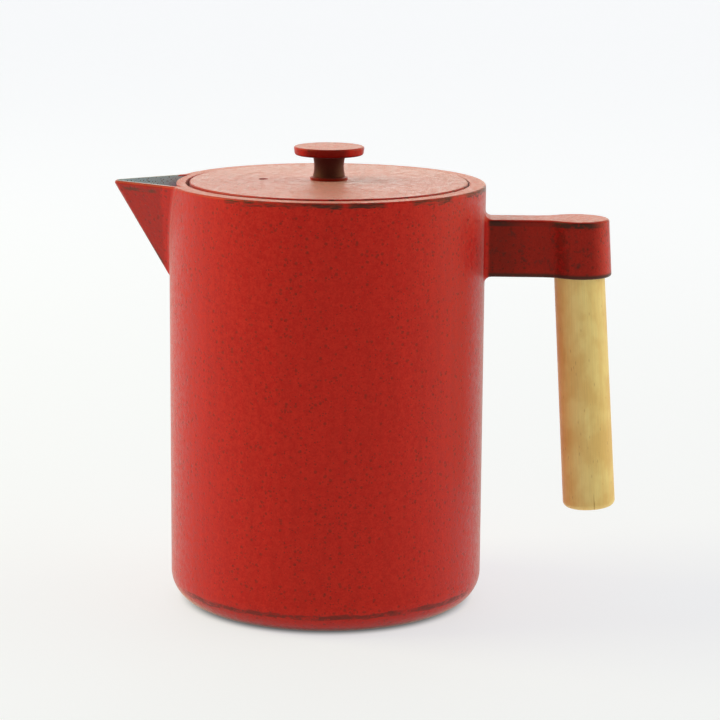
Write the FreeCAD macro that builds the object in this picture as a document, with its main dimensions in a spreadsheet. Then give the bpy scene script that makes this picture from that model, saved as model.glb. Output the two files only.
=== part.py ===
"""Cast iron teapot with a side grip: a parametric FreeCAD document, in millimetres.

The frame: +Z up, origin at the centre of the flat foot. The spout points along -X and the
grip stands off along +X. The pot is round about Z and every piece is symmetric in Y.
"""
import FreeCAD, Part
import math
import os

import Sketcher

Vector = FreeCAD.Vector
Rotation = FreeCAD.Rotation

# Driving dimensions. Radii unless the name says otherwise; heights are above the foot.
DIMENSIONS = {
    # the pot: wall, floor, foot and rim
    "pot_height": 148.0,
    "rim_outer": 55.0,
    "wall_outer_low": 55.0,
    "cavity": 51.5,
    "floor_thick": 5.0,
    "floor_blend": 9.0,
    "foot_round": 10.0,
    "rim_edge": 0.8,
    # the ring inside the rim, with the seat that the lid and the basket rest on
    "ring_outer": 52.5,
    "seat_wall": 49.2,
    "seat_depth": 3.7,
    "seat_edge": 0.35,
    "ledge_inner": 45.4,
    "ring_depth": 8.5,
    # the spout: a half cone over a rounded V, whose keel runs down into the wall
    "spout_reach": 74.7,
    "spout_nose": 3.6,
    "spout_back": 51.5,
    "spout_back_half": 18.9,
    "keel_root": 52.5,
    "keel_depth": 38.4,
    "spout_tail": 0.04,
    "spout_blend": 2.0,
    # the open channel along the spout
    "channel_reach": 73.2,
    "channel_nose": 0.8,
    "channel_back": 46.0,
    "channel_back_half": 19.3,
    "channel_root": 52.9,
    "channel_depth": 28.9,
    "channel_tail": 0.02,
    "channel_head": 1.08,
    "channel_edge": 0.5,
    # the arm and the boss at its end, which leans with the grip
    "arm_bottom": 116.3,
    "arm_tall": 20.0,
    "arm_wide": 13.6,
    "arm_root": 52.6,
    "arm_edge": 0.9,
    "arm_blend": 2.6,
    "boss_round": 11.2,
    "boss_blend": 12.0,
    "socket_round": 9.0,
    "socket_deep": 1.5,
    "grip_axis_x": 88.0,
    "grip_lean": 3.7,
    "tapped_round": 2.5,
    "tapped_deep": 12.5,
    # the turned wooden grip
    "grip_long": 84.3,
    "grip_top": 8.8,
    "grip_low": 9.2,
    "grip_bore": 2.9,
    "grip_top_edge": 0.6,
    "grip_low_edge": 2.1,
    "pocket_round": 5.6,
    "pocket_deep": 9.0,
    "pocket_edge": 0.4,
    "crack_place": 1.4,
    "crack_wide": 0.45,
    "crack_long": 6.8,
    "crack_deep": 1.2,
    # the long screw up the middle of the grip, and its washer
    "grip_screw_shank": 2.45,
    "grip_screw_bite": 10.0,
    "grip_screw_head": 4.3,
    "grip_screw_head_tall": 3.3,
    "grip_washer_outer": 5.2,
    "grip_washer_inner": 2.7,
    "grip_washer_thick": 1.0,
    # the lid
    "lid_shift": 0.45,
    "lid_edge_round": 48.3,
    "lid_edge_thick": 3.5,
    "lid_crown": 0.5,
    "lid_edge": 0.5,
    "skirt_outer": 38.4,
    "skirt_inner": 35.8,
    "skirt_deep": 7.0,
    "skirt_edge": 0.5,
    "skirt_root": 1.5,
    "lid_screw_hole": 2.25,
    "vent_round": 1.75,
    "vent_place": 22.8,
    # the knob, as heights above the lid's centre
    "knob_tall": 11.6,
    "knob_disc": 12.3,
    "knob_disc_low": 11.9,
    "knob_disc_thick": 2.9,
    "knob_under": 5.6,
    "knob_slope": 0.7,
    "knob_waist": 13.0,
    "knob_flare": 5.6,
    "knob_flare_high": 1.25,
    "knob_foot": 6.5,
    "knob_foot_thick": 0.85,
    "knob_top_edge": 0.6,
    "knob_low_edge": 0.9,
    "knob_root_edge": 0.6,
    "knob_tapped": 2.0,
    "knob_tapped_deep": 7.5,
    "knob_screw_shank": 1.95,
    "knob_screw_bite": 6.0,
    "knob_screw_head": 3.6,
    "knob_screw_head_tall": 2.4,
    "knob_washer_outer": 5.5,
    "knob_washer_inner": 2.2,
    "knob_washer_thick": 0.8,
    # the tea basket of sheet steel
    "collar_outer": 48.5,
    "collar_sheet": 0.6,
    "collar_bend": 0.8,
    "collar_neck": 40.0,
    "collar_neck_deep": 10.0,
    "basket_sheet": 0.5,
    "basket_gap": 0.02,
    "basket_top_drop": 4.0,
    "basket_tall": 68.0,
    "basket_lip": 5.0,
    "basket_hole": 1.6,
    "hole_reach": 5.0,
    "wall_hole_rows": 4,
    "wall_hole_columns": 16,
    "wall_hole_pitch": 14.0,
    "wall_hole_low": 15.0,
    "base_ring_pitch": 10.0,
    "base_rings": 3,
    "base_ring_step": 6,
    # both screws
    "screw_edge": 0.4,
    "slot_wide": 1.2,
    "slot_deep": 1.4,
    # how far a cutter reaches past the faces that it cuts through
    "cutter_lead": 3.0,
}

# how far apart two lengths may be and still count as the same, in millimetres
SLACK = 0.02
# the least volume that a cut has to take away, in cubic millimetres
LEAST_CUT = 0.001


def make_sheet(doc):
    """The spreadsheet: one row per driving dimension, its value aliased by its name."""
    sheet = doc.addObject("Spreadsheet::Sheet", "dims")
    for row, (alias, value) in enumerate(DIMENSIONS.items(), start=1):
        sheet.set(f"A{row}", alias)
        sheet.set(f"B{row}", str(value))
        sheet.setAlias(f"B{row}", alias)
    doc.recompute()
    return sheet


doc = FreeCAD.newDocument("teapot")
sheet = make_sheet(doc)


def size(name):
    """The value of one driving dimension, read back from the sheet."""
    return float(getattr(sheet, name))


def value_of(expression):
    """The number that an expression on the sheet gives."""
    return float(sheet.evalExpression(expression))


def bind(item, **properties):
    """Bind properties to expressions; __ in a property's name stands for a dot."""
    for name, expression in properties.items():
        item.setExpression(name.replace("__", "."), expression)


def new_body(label):
    body = doc.addObject("PartDesign::Body", label)
    body.Label = label
    return body


def base_plane(body, role):
    return next(item for item in body.Origin.OriginFeatures if item.Role == role)


def new_sketch(body, name, role, offset=None):
    """A sketch on one of the body's own origin planes, lifted along its normal by offset."""
    sketch = body.newObject("Sketcher::SketchObject", name)
    sketch.AttachmentSupport = (base_plane(body, role), [""])
    sketch.MapMode = "FlatFace"
    if offset:
        bind(sketch, AttachmentOffset__Base__z=offset)
    return sketch


def pin_point(sketch, geometry, end, x_text, y_text):
    """Fix one end of a line or arc: on an axis where the text is 0, else at a bound distance."""
    for kind, axis, text in (("DistanceX", -2, x_text), ("DistanceY", -1, y_text)):
        if text == "0":
            sketch.addConstraint(Sketcher.Constraint("PointOnObject", geometry, end, axis))
            continue
        constraint = Sketcher.Constraint(kind, -1, 1, geometry, end, value_of(text))
        index = sketch.addConstraint(constraint)
        sketch.setExpression(f"Constraints[{index}]", text)


def draw_outline(sketch, corners, arcs=None):
    """A closed outline through corners given as pairs of expressions.

    arcs maps a corner's number to (radius expression, side) for the run that starts there:
    side is +1 where the arc's centre lies to the left of the run and -1 to its right.
    """
    arcs = arcs or {}
    places = [Vector(value_of(x_text), value_of(y_text), 0) for x_text, y_text in corners]
    ends = []
    for number, start in enumerate(places):
        stop = places[(number + 1) % len(places)]
        if number not in arcs:
            index = sketch.addGeometry(Part.LineSegment(start, stop), False)
            ends.append((index, 1, 2))
            continue
        radius_text, side = arcs[number]
        radius = value_of(radius_text)
        chord = stop - start
        reach = math.sqrt(radius ** 2 - (chord.Length / 2) ** 2)
        left = Vector(-chord.y, chord.x, 0).normalize()
        centre = start + chord * 0.5 + left * (reach * side)
        first, last = (start, stop) if side > 0 else (stop, start)
        circle = Part.Circle(centre, Vector(0, 0, 1), radius)
        first_angle = math.atan2(first.y - centre.y, first.x - centre.x)
        last_angle = math.atan2(last.y - centre.y, last.x - centre.x)
        index = sketch.addGeometry(Part.ArcOfCircle(circle, first_angle, last_angle), False)
        ends.append((index, 1, 2) if side > 0 else (index, 2, 1))
        limit = sketch.addConstraint(Sketcher.Constraint("Radius", index, radius))
        sketch.setExpression(f"Constraints[{limit}]", radius_text)
    for number, (index, head, tail) in enumerate(ends):
        next_index, next_head, _ = ends[(number + 1) % len(ends)]
        sketch.addConstraint(Sketcher.Constraint("Coincident", index, tail, next_index, next_head))
        pin_point(sketch, index, head, *corners[number])


def draw_circle(sketch, x_text, y_text, radius_text):
    centre = Vector(value_of(x_text), value_of(y_text), 0)
    circle = Part.Circle(centre, Vector(0, 0, 1), value_of(radius_text))
    index = sketch.addGeometry(circle, False)
    limit = sketch.addConstraint(Sketcher.Constraint("Radius", index, value_of(radius_text)))
    sketch.setExpression(f"Constraints[{limit}]", radius_text)
    pin_point(sketch, index, 3, x_text, y_text)


def revolve(body, name, corners, arcs=None):
    """A solid of revolution about Z from an outline of (radius, height) corners."""
    sketch = new_sketch(body, name + "_section", "XZ_Plane")
    draw_outline(sketch, corners, arcs)
    feature = body.newObject("PartDesign::Revolution", name)
    feature.Profile = sketch
    feature.ReferenceAxis = (sketch, ["V_Axis"])
    feature.Angle = 360
    doc.recompute()
    return feature


def rounded(body, name, radius, test):
    """Fillet every edge of the body so far that the test picks."""
    base = body.Tip
    picked = [f"Edge{number}" for number, edge in enumerate(base.Shape.Edges, start=1) if test(edge)]
    if not picked:
        raise RuntimeError(f"{name}: no edge to round")
    feature = body.newObject("PartDesign::Fillet", name)
    feature.Base = (base, picked)
    bind(feature, Radius=radius)
    doc.recompute()
    return feature


def level_edge(edge, height):
    """True for an edge that lies in the level plane at this height."""
    return edge.BoundBox.ZLength < SLACK and abs(edge.BoundBox.ZMin - height) < SLACK


def ring_edge(edge, radius, height):
    """True for an edge on a circle about Z of this radius at this height."""
    on_circle = all(abs(math.hypot(v.Point.x, v.Point.y) - radius) < SLACK for v in edge.Vertexes)
    return on_circle and level_edge(edge, height)


def wall_edge(edge):
    """True for an edge that runs on the outer face of the pot's round wall."""
    least, most = sorted((size("wall_outer_low"), size("rim_outer")))
    return all(least - SLACK < math.hypot(p.x, p.y) < most + SLACK for p in edge.discretize(7))


def cut_checked(body, feature):
    """Recompute a cut and make sure that it took something away."""
    before = feature.BaseFeature.Shape.Volume if feature.BaseFeature else 0.0
    doc.recompute()
    if feature.Shape.Volume > before - LEAST_CUT:
        raise RuntimeError(f"{feature.Name} cuts nothing from {body.Label}")
    return feature


# the plan of the spout and of its channel: nose, nose radius, back line, half width there, and
# the root, the place that the plan shrinks towards on its way down the keel
SPOUT_PLAN = ("dims.spout_reach", "dims.spout_nose", "dims.spout_back",
              "dims.spout_back_half", "dims.keel_root")
CHANNEL_PLAN = ("dims.channel_reach", "dims.channel_nose", "dims.channel_back",
                "dims.channel_back_half", "dims.channel_root")


def draw_vee(sketch, plan, scale):
    """A rounded V that points along -X, shrunk towards its root by scale."""
    reach, nose, back, half, root = plan

    def along(place):
        return f"-({root} + ({place} - {root}) * {scale})"

    back_x, centre_x = along(back), along(f"({reach} - {nose})")
    half_low, half_high = f"-({half} * {scale})", f"{half} * {scale}"
    radius_text = f"{nose} * {scale}"
    radius = value_of(radius_text)
    centre = Vector(value_of(centre_x), 0, 0)
    corner = Vector(value_of(back_x), value_of(half_low), 0)
    # where the line from the back corner touches the nose circle
    gap = corner - centre
    bearing = math.atan2(gap.y, gap.x) - math.acos(radius / gap.Length)
    touch = centre + Vector(math.cos(bearing), math.sin(bearing), 0) * radius
    touch_angle = math.atan2(touch.y - centre.y, touch.x - centre.x)
    circle = Part.Circle(centre, Vector(0, 0, 1), radius)
    mirrored_touch = Vector(touch.x, -touch.y, 0)
    mirrored_corner = Vector(corner.x, -corner.y, 0)
    near_side, nose_arc, far_side, back_line = range(4)
    sketch.addGeometry(Part.LineSegment(corner, touch), False)
    sketch.addGeometry(Part.ArcOfCircle(circle, -touch_angle, 2 * math.pi + touch_angle), False)
    sketch.addGeometry(Part.LineSegment(mirrored_touch, mirrored_corner), False)
    sketch.addGeometry(Part.LineSegment(mirrored_corner, corner), False)
    sketch.addConstraint(Sketcher.Constraint("Tangent", near_side, 2, nose_arc, 2))
    sketch.addConstraint(Sketcher.Constraint("Tangent", nose_arc, 1, far_side, 1))
    sketch.addConstraint(Sketcher.Constraint("Coincident", far_side, 2, back_line, 1))
    sketch.addConstraint(Sketcher.Constraint("Coincident", back_line, 2, near_side, 1))
    pin_point(sketch, near_side, 1, back_x, half_low)
    pin_point(sketch, far_side, 2, back_x, half_high)
    pin_point(sketch, nose_arc, 3, centre_x, "0")
    limit = sketch.addConstraint(Sketcher.Constraint("Radius", nose_arc, radius))
    sketch.setExpression(f"Constraints[{limit}]", radius_text)


def loft_vee(body, name, kind, plan, depth, scales):
    """A loft between two sizes of the same V; scale 1 lies in the plane of the rim."""
    sketches = []
    for place, scale in zip(("_head", "_tail"), scales):
        height = f"dims.pot_height - {depth} * (1 - {scale})"
        sketch = new_sketch(body, name + place, "XY_Plane", height)
        draw_vee(sketch, plan, scale)
        sketches.append(sketch)
    doc.recompute()
    feature = body.newObject(kind, name)
    feature.Profile = sketches[0]
    feature.Sections = [sketches[1]]
    feature.Ruled = True
    return feature


def leaning(body, name, kind, radius, height, start):
    """A cylinder on the grip's leaning axis; start is counted up from the arm's underside."""
    feature = body.newObject(kind, name)
    feature.AttachmentSupport = (base_plane(body, "XY_Plane"), [""])
    feature.MapMode = "FlatFace"
    turn = Rotation(Vector(0, -1, 0), size("grip_lean"))
    feature.AttachmentOffset = FreeCAD.Placement(Vector(0, 0, 0), turn)
    x_text = f"dims.grip_axis_x - ({start}) * sin(dims.grip_lean * 1 deg)"
    z_text = f"dims.arm_bottom + ({start}) * cos(dims.grip_lean * 1 deg)"
    bind(feature, AttachmentOffset__Base__x=x_text, AttachmentOffset__Base__z=z_text,
         AttachmentOffset__Rotation__Angle="dims.grip_lean", Radius=radius, Height=height)
    return feature


def make_pot_body():
    """The casting: round wall and floor, spout, ring with the lid's seat, arm and boss."""
    body = new_body("pot_body")
    revolve(body, "wall", [
        ("0", "0"),
        ("dims.wall_outer_low", "0"),
        ("dims.rim_outer", "dims.pot_height"),
        ("dims.cavity", "dims.pot_height"),
        ("dims.cavity", "dims.floor_thick"),
        ("0", "dims.floor_thick"),
    ])
    rounded(body, "floor_blend", "dims.floor_blend",
            lambda e: ring_edge(e, size("cavity"), size("floor_thick")))
    rounded(body, "foot_round", "dims.foot_round",
            lambda e: ring_edge(e, size("wall_outer_low"), 0.0))

    loft_vee(body, "spout", "PartDesign::AdditiveLoft", SPOUT_PLAN, "dims.keel_depth",
             ("1", "dims.spout_tail"))
    doc.recompute()
    round_spout_root(body)
    channel = loft_vee(body, "channel", "PartDesign::SubtractiveLoft", CHANNEL_PLAN,
                       "dims.channel_depth", ("dims.channel_head", "dims.channel_tail"))
    cut_checked(body, channel)

    ring_bottom = "dims.pot_height - dims.ring_depth"
    seat = "dims.pot_height - dims.seat_depth"
    revolve(body, "rim_ring", [
        ("dims.ledge_inner", ring_bottom),
        ("dims.ring_outer", ring_bottom),
        ("dims.ring_outer", "dims.pot_height"),
        ("dims.seat_wall", "dims.pot_height"),
        ("dims.seat_wall", seat),
        ("dims.ledge_inner", seat),
    ])
    make_arm(body)
    round_top_edges(body)
    return body


def round_spout_root(body):
    """Blend the spout's sides into the round wall."""
    top_z = size("pot_height")
    keel_z = top_z - size("keel_depth") - size("spout_blend")

    def on_join(edge):
        below_rim = edge.CenterOfMass.z < top_z - size("rim_edge")
        above_keel = edge.BoundBox.ZMin > keel_z
        return below_rim and above_keel and edge.CenterOfMass.x < 0 and wall_edge(edge)

    rounded(body, "spout_blend", "dims.spout_blend", on_join)


def draw_arm_plan(sketch, centre):
    """The arm from above: straight sides that sweep out on arcs into the round boss."""
    half = "dims.arm_wide / 2"
    boss, sweep = "dims.boss_round", "dims.boss_blend"
    reach = f"sqrt(({boss} + {sweep}) ^ 2 - ({half} + {sweep}) ^ 2)"
    share = f"{boss} / ({boss} + {sweep})"
    sweep_start = f"{centre} - {reach}"
    sweep_end = f"{centre} - {reach} * {share}"
    sweep_half = f"({half} + {sweep}) * {share}"
    draw_outline(sketch, [
        ("dims.arm_root", f"-({half})"),
        (sweep_start, f"-({half})"),
        (sweep_end, f"-({sweep_half})"),
        (f"{centre} + {boss}", "0"),
        (sweep_end, sweep_half),
        (sweep_start, half),
        ("dims.arm_root", half),
    ], arcs={1: (sweep, -1), 2: (boss, 1), 3: (boss, 1), 4: (sweep, -1)})


def make_arm(body):
    """The flat arm, the leaning boss at its end and the tapped hole for the grip's screw."""
    low_plan = new_sketch(body, "arm_low_plan", "XY_Plane", "dims.arm_bottom")
    draw_arm_plan(low_plan, "dims.grip_axis_x")
    top_plan = new_sketch(body, "arm_top_plan", "XY_Plane", "dims.arm_bottom + dims.arm_tall")
    draw_arm_plan(top_plan, "(dims.grip_axis_x - dims.arm_tall * tan(dims.grip_lean * 1 deg))")
    doc.recompute()
    arm = body.newObject("PartDesign::AdditiveLoft", "arm")
    arm.Profile = low_plan
    arm.Sections = [top_plan]
    arm.Ruled = True
    doc.recompute()

    bottom_z = size("arm_bottom")
    top_z = bottom_z + size("arm_tall")

    def on_arm_rim(edge):
        level = level_edge(edge, bottom_z) or level_edge(edge, top_z)
        return level and edge.BoundBox.XMax > size("rim_outer") + size("arm_edge")

    rounded(body, "arm_edge", "dims.arm_edge", on_arm_rim)

    def on_wall_join(edge):
        box = edge.BoundBox
        beside_arm = box.XMin > 0 and box.ZMin > bottom_z - SLACK and box.ZMax < top_z + SLACK
        return beside_arm and wall_edge(edge)

    rounded(body, "arm_blend", "dims.arm_blend", on_wall_join)

    socket = leaning(body, "grip_socket", "PartDesign::SubtractiveCylinder", "dims.socket_round",
                     "dims.socket_deep + dims.cutter_lead", start="-dims.cutter_lead")
    cut_checked(body, socket)
    tapped = leaning(body, "tapped_hole", "PartDesign::SubtractiveCylinder", "dims.tapped_round",
                     "dims.tapped_deep", start="dims.socket_deep")
    cut_checked(body, tapped)


def round_top_edges(body):
    """Soften the outer edge of the rim and spout, and the inner edges of channel and seat."""
    top_z = size("pot_height")

    def on_outer_top(edge):
        if not level_edge(edge, top_z):
            return False
        middle = edge.discretize(3)[1]
        outside = math.hypot(middle.x, middle.y) > size("ring_outer") + SLACK
        return outside and not on_channel_side(edge)

    def on_channel_side(edge):
        """The channel's sides run inside the spout's, nearer to the middle plane."""
        reach, nose = size("channel_reach"), size("channel_nose")
        slope = size("channel_back_half") / (reach - size("channel_back"))
        points = edge.discretize(5)
        outermost = -size("ledge_inner")
        return all(p.x < outermost and abs(p.y) < (reach + p.x) * slope + nose for p in points)

    rounded(body, "rim_edge", "dims.rim_edge", on_outer_top)
    rounded(body, "channel_edge", "dims.channel_edge",
            lambda e: level_edge(e, top_z) and on_channel_side(e))
    rounded(body, "seat_edge", "dims.seat_edge", lambda e: ring_edge(e, size("seat_wall"), top_z))
    rounded(body, "ledge_edge", "dims.seat_edge",
            lambda e: ring_edge(e, size("ledge_inner"), top_z - size("seat_depth")))


def lean_with_grip(body):
    """Stand a body on the grip's axis: its own origin is the middle of the socket's floor."""
    body.Placement = FreeCAD.Placement(Vector(0, 0, 0), Rotation(Vector(0, -1, 0), size("grip_lean")))
    bind(body, Placement__Base__x="dims.grip_axis_x - dims.socket_deep * sin(dims.grip_lean * 1 deg)",
         Placement__Base__z="dims.arm_bottom + dims.socket_deep * cos(dims.grip_lean * 1 deg)",
         Placement__Rotation__Angle="dims.grip_lean")


def make_grip():
    """The turned grip: bored through, with a pocket for the screw's head in its lower end."""
    body = new_body("wooden_grip")
    low_end = "-dims.grip_long"
    pocket_floor = "dims.pocket_deep - dims.grip_long"
    revolve(body, "turned_grip", [
        ("dims.grip_bore", "0"),
        ("dims.grip_bore", pocket_floor),
        ("dims.pocket_round", pocket_floor),
        ("dims.pocket_round", low_end),
        ("dims.grip_low", low_end),
        ("dims.grip_top", "0"),
    ])
    rounded(body, "low_edge", "dims.grip_low_edge",
            lambda e: ring_edge(e, size("grip_low"), -size("grip_long")))
    rounded(body, "top_edge", "dims.grip_top_edge", lambda e: ring_edge(e, size("grip_top"), 0))
    rounded(body, "pocket_edge", "dims.pocket_edge",
            lambda e: ring_edge(e, size("pocket_round"), -size("grip_long")))
    cut_drying_crack(body)
    lean_with_grip(body)
    return body


def cut_drying_crack(body):
    """A narrow crack that runs up the front of the grip from its lower end to a point."""
    plan = new_sketch(body, "crack_plan", "XZ_Plane", "dims.grip_low - dims.crack_deep")
    mouth = "-dims.grip_long - dims.cutter_lead"
    draw_outline(plan, [
        ("dims.crack_place - dims.crack_wide / 2", mouth),
        ("dims.crack_place + dims.crack_wide / 2", mouth),
        ("dims.crack_place", "dims.crack_long - dims.grip_long"),
    ])
    crack = body.newObject("PartDesign::Pocket", "drying_crack")
    crack.Profile = plan
    crack.Reversed = True
    bind(crack, Length="dims.crack_deep + dims.cutter_lead")
    cut_checked(body, crack)


def cut_slot(body, height, outward):
    """A straight screwdriver slot across a head; height is its face, outward +1 or -1."""
    plan = new_sketch(body, "slot_plan", "XY_Plane", height)
    draw_outline(plan, [
        ("-2 * dims.grip_screw_head", "-dims.slot_wide / 2"),
        ("2 * dims.grip_screw_head", "-dims.slot_wide / 2"),
        ("2 * dims.grip_screw_head", "dims.slot_wide / 2"),
        ("-2 * dims.grip_screw_head", "dims.slot_wide / 2"),
    ])
    slot = body.newObject("PartDesign::Pocket", "slot")
    slot.Profile = plan
    slot.Reversed = outward < 0
    bind(slot, Length="dims.slot_deep")
    cut_checked(body, slot)


def make_screw(label, prefix, seat, bite):
    """A slotted cheese-head screw: seat is the height under its head, bite that of its tip."""
    body = new_body(label)
    shank, head, tall = (f"dims.{prefix}{part}" for part in ("_shank", "_head", "_head_tall"))
    face = f"({seat} - {tall})"
    revolve(body, "turned_screw", [
        ("0", face),
        (head, face),
        (head, seat),
        (shank, seat),
        (shank, bite),
        ("0", bite),
    ])
    rounded(body, "head_edge", "dims.screw_edge",
            lambda e: ring_edge(e, value_of(head), value_of(face)))
    rounded(body, "tip_edge", "dims.screw_edge",
            lambda e: ring_edge(e, value_of(shank), value_of(bite)))
    cut_slot(body, face, outward=-1)
    return body


def make_washer(label, prefix, top):
    """A flat washer whose upper face is at this height."""
    body = new_body(label)
    inner, outer, thick = (f"dims.{prefix}{part}" for part in ("_inner", "_outer", "_thick"))
    revolve(body, "ring", [
        (inner, f"{top} - {thick}"),
        (outer, f"{top} - {thick}"),
        (outer, top),
        (inner, top),
    ])
    return body


# heights of the lid's parts above the foot
COLLAR_TOP = "(dims.pot_height - dims.seat_depth + dims.collar_sheet)"
LID_UNDERSIDE = COLLAR_TOP
LID_TOP_EDGE = f"({LID_UNDERSIDE} + dims.lid_edge_thick)"
LID_TOP = f"({LID_TOP_EDGE} + dims.lid_crown)"


def shift_with_lid(body):
    """Stand a body on the lid's axis: the lid lies loose in its seat, a little off the pot's."""
    bind(body, Placement__Base__x="dims.lid_shift")


def make_lid():
    """The lid: a slightly crowned plate with a locating skirt, a screw hole and a steam vent."""
    body = new_body("lid")
    crown_round = "((dims.lid_edge_round ^ 2 + dims.lid_crown ^ 2) / (2 * dims.lid_crown))"
    skirt_end = f"{LID_UNDERSIDE} - dims.skirt_deep"
    revolve(body, "plate", [
        ("0", LID_UNDERSIDE),
        ("dims.skirt_inner", LID_UNDERSIDE),
        ("dims.skirt_inner", skirt_end),
        ("dims.skirt_outer", skirt_end),
        ("dims.skirt_outer", LID_UNDERSIDE),
        ("dims.lid_edge_round", LID_UNDERSIDE),
        ("dims.lid_edge_round", LID_TOP_EDGE),
        ("0", LID_TOP),
    ], arcs={6: (crown_round, 1)})
    rounded(body, "lid_edge", "dims.lid_edge",
            lambda e: ring_edge(e, size("lid_edge_round"), value_of(LID_TOP_EDGE)))
    rounded(body, "skirt_edge", "dims.skirt_edge",
            lambda e: ring_edge(e, size("skirt_outer"), value_of(skirt_end))
            or ring_edge(e, size("skirt_inner"), value_of(skirt_end)))
    rounded(body, "skirt_root", "dims.skirt_root",
            lambda e: ring_edge(e, size("skirt_inner"), value_of(LID_UNDERSIDE)))
    for name, place, radius in (("screw_hole", "0", "dims.lid_screw_hole"),
                                ("vent", "-dims.vent_place", "dims.vent_round")):
        plan = new_sketch(body, name + "_plan", "XY_Plane", f"{LID_UNDERSIDE} - dims.cutter_lead")
        draw_circle(plan, place, "0", radius)
        hole = body.newObject("PartDesign::Pocket", name)
        hole.Profile = plan
        hole.Reversed = True
        bind(hole, Length="dims.lid_edge_thick + dims.lid_crown + 2 * dims.cutter_lead")
        cut_checked(body, hole)
    shift_with_lid(body)
    return body


def make_knob():
    """The mushroom knob: a foot, a waisted stem and a flat disc, tapped from below."""
    body = new_body("lid_knob")

    def above(text):
        return f"({LID_TOP} + {text})"

    disc_low = above("(dims.knob_tall - dims.knob_disc_thick)")
    disc_root = f"({disc_low} - dims.knob_slope)"
    revolve(body, "turned_knob", [
        ("dims.knob_tapped", above("0")),
        ("dims.knob_foot", above("0")),
        ("dims.knob_foot", above("dims.knob_foot_thick")),
        ("dims.knob_flare", above("dims.knob_flare_high")),
        ("dims.knob_under", disc_root),
        ("dims.knob_disc_low", disc_low),
        ("dims.knob_disc", above("dims.knob_tall")),
        ("0", above("dims.knob_tall")),
        ("0", above("dims.knob_tapped_deep")),
        ("dims.knob_tapped", above("dims.knob_tapped_deep")),
    ], arcs={3: ("dims.knob_waist", -1)})
    rounded(body, "top_edge", "dims.knob_top_edge",
            lambda e: ring_edge(e, size("knob_disc"), value_of(above("dims.knob_tall"))))
    rounded(body, "low_edge", "dims.knob_low_edge",
            lambda e: ring_edge(e, size("knob_disc_low"), value_of(disc_low)))
    rounded(body, "root_edge", "dims.knob_root_edge",
            lambda e: ring_edge(e, size("knob_under"), value_of(disc_root)))
    shift_with_lid(body)
    return body


def make_basket():
    """The tea basket: a flanged collar, a perforated wall and a perforated base cup."""
    collar = new_body("infuser_collar")
    sheet_low = f"({COLLAR_TOP} - dims.collar_sheet)"
    neck_end = f"({COLLAR_TOP} - dims.collar_neck_deep)"
    neck_inner = "(dims.collar_neck - dims.collar_sheet)"
    revolve(collar, "pressed_collar", [
        (neck_inner, neck_end),
        ("dims.collar_neck", neck_end),
        ("dims.collar_neck", sheet_low),
        ("dims.collar_outer", sheet_low),
        ("dims.collar_outer", COLLAR_TOP),
        (neck_inner, COLLAR_TOP),
    ])
    rounded(collar, "bend_inside", "dims.collar_bend",
            lambda e: ring_edge(e, size("collar_neck"), value_of(sheet_low)))
    rounded(collar, "bend_outside", "dims.collar_bend + dims.collar_sheet",
            lambda e: ring_edge(e, value_of(neck_inner), value_of(COLLAR_TOP)))

    wall_top = f"({COLLAR_TOP} - dims.basket_top_drop)"
    wall_low = f"({wall_top} - dims.basket_tall)"
    wall_inner = "(dims.collar_neck + dims.basket_gap)"
    wall = new_body("infuser_wall")
    revolve(wall, "rolled_wall", [
        (wall_inner, wall_low),
        (f"{wall_inner} + dims.basket_sheet", wall_low),
        (f"{wall_inner} + dims.basket_sheet", wall_top),
        (wall_inner, wall_top),
    ])
    column = new_sketch(wall, "hole_column", "YZ_Plane", f"{wall_inner} - dims.hole_reach / 2")
    half_pitch_angle = "(180 / dims.wall_hole_columns * 1 deg)"
    for row in range(int(size("wall_hole_rows"))):
        low = f"{wall_low} + dims.wall_hole_low + {row} * dims.wall_hole_pitch"
        draw_circle(column, "0", low, "dims.basket_hole")
        draw_circle(column, f"{wall_inner} * sin({half_pitch_angle})",
                    f"{low} - dims.wall_hole_pitch / 2", "dims.basket_hole")
    holes = wall.newObject("PartDesign::Pocket", "hole_column_cut")
    holes.Profile = column
    holes.Reversed = True
    bind(holes, Length="dims.hole_reach")
    cut_checked(wall, holes)
    repeat_about_z(wall, "perforation", holes, int(size("wall_hole_columns")))

    base = new_body("infuser_base")
    cup_outer = f"({wall_inner} - dims.basket_gap)"
    revolve(base, "pressed_base", [
        ("0", wall_low),
        (cup_outer, wall_low),
        (cup_outer, f"{wall_low} + dims.basket_lip"),
        (f"{cup_outer} - dims.basket_sheet", f"{wall_low} + dims.basket_lip"),
        (f"{cup_outer} - dims.basket_sheet", f"{wall_low} + dims.basket_sheet"),
        ("0", f"{wall_low} + dims.basket_sheet"),
    ])
    for ring in range(1, int(size("base_rings")) + 1):
        plan = new_sketch(base, f"ring_{ring}_plan", "XY_Plane", f"{wall_low} - dims.cutter_lead")
        draw_circle(plan, f"{ring} * dims.base_ring_pitch", "0", "dims.basket_hole")
        cut = base.newObject("PartDesign::Pocket", f"ring_{ring}_hole")
        cut.Profile = plan
        cut.Reversed = True
        bind(cut, Length="2 * dims.cutter_lead")
        cut_checked(base, cut)
        repeat_about_z(base, f"ring_{ring}", cut, int(size("base_ring_step")) * ring)
    return [collar, wall, base]


def repeat_about_z(body, name, feature, count):
    """A polar pattern of one cut about the body's Z axis."""
    pattern = body.newObject("PartDesign::PolarPattern", name)
    pattern.Originals = [feature]
    pattern.Axis = (base_plane(body, "Z_Axis"), [""])
    pattern.Angle = 360
    pattern.Occurrences = count
    before = feature.Shape.Volume
    body.Tip = pattern
    doc.recompute()
    if count > 1 and pattern.Shape.Volume >= before:
        raise RuntimeError(f"{name} repeats nothing in {body.Label}")


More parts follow.
